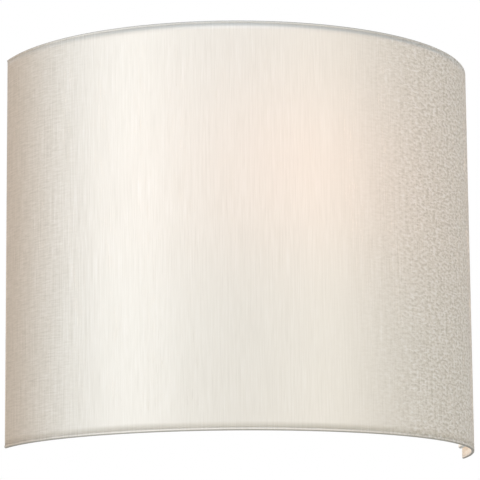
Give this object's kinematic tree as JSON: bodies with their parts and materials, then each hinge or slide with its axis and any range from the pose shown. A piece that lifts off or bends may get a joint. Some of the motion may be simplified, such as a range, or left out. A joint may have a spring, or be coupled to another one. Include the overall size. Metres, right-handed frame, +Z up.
{
  "type": "fabric shade wall light",
  "caption": "Half-round fabric shade wall light: a cream cloth shade on a wire frame clips on a steel wall plate with a screw-cap lampholder and bulb.",
  "frame": {"origin": "centre of the wall plate's back face, at the middle of the shade's height", "axes": "+Z up, +Y into the wall, -Y out from the wall, +X to the right of a viewer who faces the light"},
  "size_m": [0.3, 0.137, 0.242],
  "materials": {
    "white_enamel": "white baked enamel, satin",
    "spring_steel": "bare spring steel",
    "zinc_steel": "bright zinc plate",
    "grommet_rubber": "black moulded rubber",
    "block_nylon": "natural white nylon",
    "brass": "plain brass",
    "tinned_copper": "tinned",
    "brown_insulation": "brown insulation",
    "blue_insulation": "blue insulation",
    "green_insulation": "green and yellow insulation",
    "holder_plastic": "moulded white thermoplastic",
    "ceramic": "unglazed ceramic",
    "solder": "solder",
    "cap_glass": "black insulator",
    "nickel_cap": "nickel plated screw cap",
    "collar_plastic": "white plastic",
    "board": "white board",
    "chip": "phosphor",
    "opal_globe": "opal, lit",
    "silk_cloth": "cream slub silk look",
    "hem_cloth": "cream slub silk look, turned over",
    "shade_film": "white self-adhesive film",
    "white_wire": "white coated wire"
  },
  "bodies": {
    "root": {"wall_plate": "white_enamel", "upper_left_clip": "spring_steel", "upper_right_clip": "spring_steel", "lower_left_clip": "spring_steel", "lower_right_clip": "spring_steel", "cable_grommet": "grommet_rubber", "lamp_arm": "white_enamel", "arm_studs": "zinc_steel", "arm_washers": "zinc_steel", "arm_nuts": "zinc_steel", "terminal_block": "block_nylon", "terminal_barrels": "brass", "terminal_screws": "zinc_steel", "terminal_stud": "zinc_steel", "terminal_nut": "zinc_steel", "earth_stud": "zinc_steel", "earth_tag": "tinned_copper", "earth_washer": "zinc_steel", "earth_nut": "zinc_steel", "live_lead": "brown_insulation", "neutral_lead": "blue_insulation", "earth_lead": "green_insulation", "arm_nipple": "zinc_steel", "nipple_nut": "zinc_steel", "nipple_washer": "zinc_steel", "holder_cap": "holder_plastic", "holder_sleeve": "holder_plastic", "lamp_carrier": "ceramic", "thread_shell": "brass", "centre_contact": "brass"},
    "bulb": {"bulb_tip": "solder", "cap_insulator": "cap_glass", "bulb_cap": "nickel_cap", "bulb_collar": "collar_plastic", "led_board": "board", "led_chips": "chip", "bulb_globe": "opal_globe"},
    "shade": {"shade_fabric": "silk_cloth", "shade_liner": "shade_film", "top_hem": "hem_cloth", "bottom_hem": "hem_cloth", "left_edge_hem": "hem_cloth", "right_edge_hem": "hem_cloth", "upper_ring": "white_wire", "lower_ring": "white_wire", "left_upright": "white_wire", "right_upright": "white_wire", "upper_clip_bar": "white_wire", "lower_clip_bar": "white_wire"}
  },
  "joints": [
    {"name": "shade_pulls_off", "type": "slide", "parent": "root", "child": "shade", "axis": [0, -1, 0], "range_m": [0, 0.12]},
    {"name": "bulb_unscrews", "type": "hinge", "parent": "root", "child": "bulb", "pos_m": [0, -0.066, 0], "axis": [0, 0, 1], "continuous": true}
  ]
}
